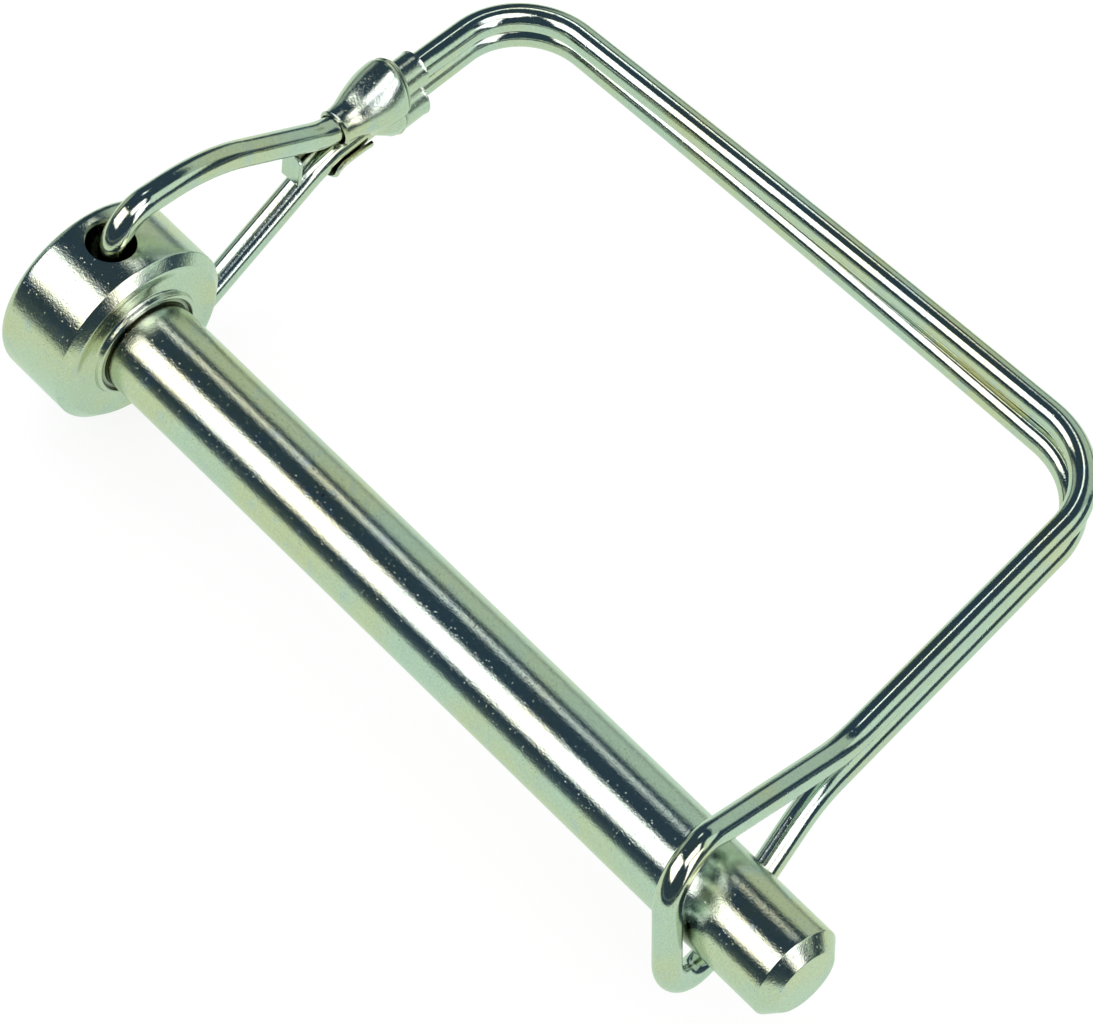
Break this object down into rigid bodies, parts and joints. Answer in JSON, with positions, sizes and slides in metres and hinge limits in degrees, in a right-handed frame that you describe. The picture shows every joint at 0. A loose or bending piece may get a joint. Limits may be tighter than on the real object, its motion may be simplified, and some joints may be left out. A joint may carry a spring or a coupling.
{
  "type": "hitch pin lock",
  "caption": "Headed steel pin with a spring-wire bail that hangs in the head's cross-hole and snaps round the shank near the chamfered tip, so the pin can't pull out.",
  "frame": {"origin": "centre of the head's outer face, on the shank's axis", "axes": "+X along the shank towards the tip, +Y towards the side where the latched bail stands, +Z along the head's cross-hole"},
  "size_m": [0.0824, 0.0573, 0.022],
  "materials": {
    "pin_zinc": "bright zinc plate over cold-headed steel, with a faint green and yellow chromate tint",
    "wire_zinc": "bright zinc plate over round drawn spring wire",
    "sheet_zinc": "bright zinc plate over stamped sheet steel, darker in its folds"
  },
  "bodies": {
    "pin_body": {"pin": "pin_zinc"},
    "bail": {"bail_upper_strand": "wire_zinc", "bail_lower_strand": "wire_zinc", "wire_clip": "sheet_zinc"},
    "latch": {"latch_loop": "wire_zinc"}
  },
  "joints": [
    {"name": "bail_swing", "type": "hinge", "parent": "pin_body", "child": "bail", "pos_m": [0.0039, 0, 0], "axis": [0, 0, 1], "range_deg": [0, 240]},
    {"name": "latch_flex", "type": "hinge", "parent": "bail", "child": "latch", "pos_m": [0.0759, 0.042, 0], "axis": [0, 0, 1], "range_deg": [0, 14]}
  ]
}
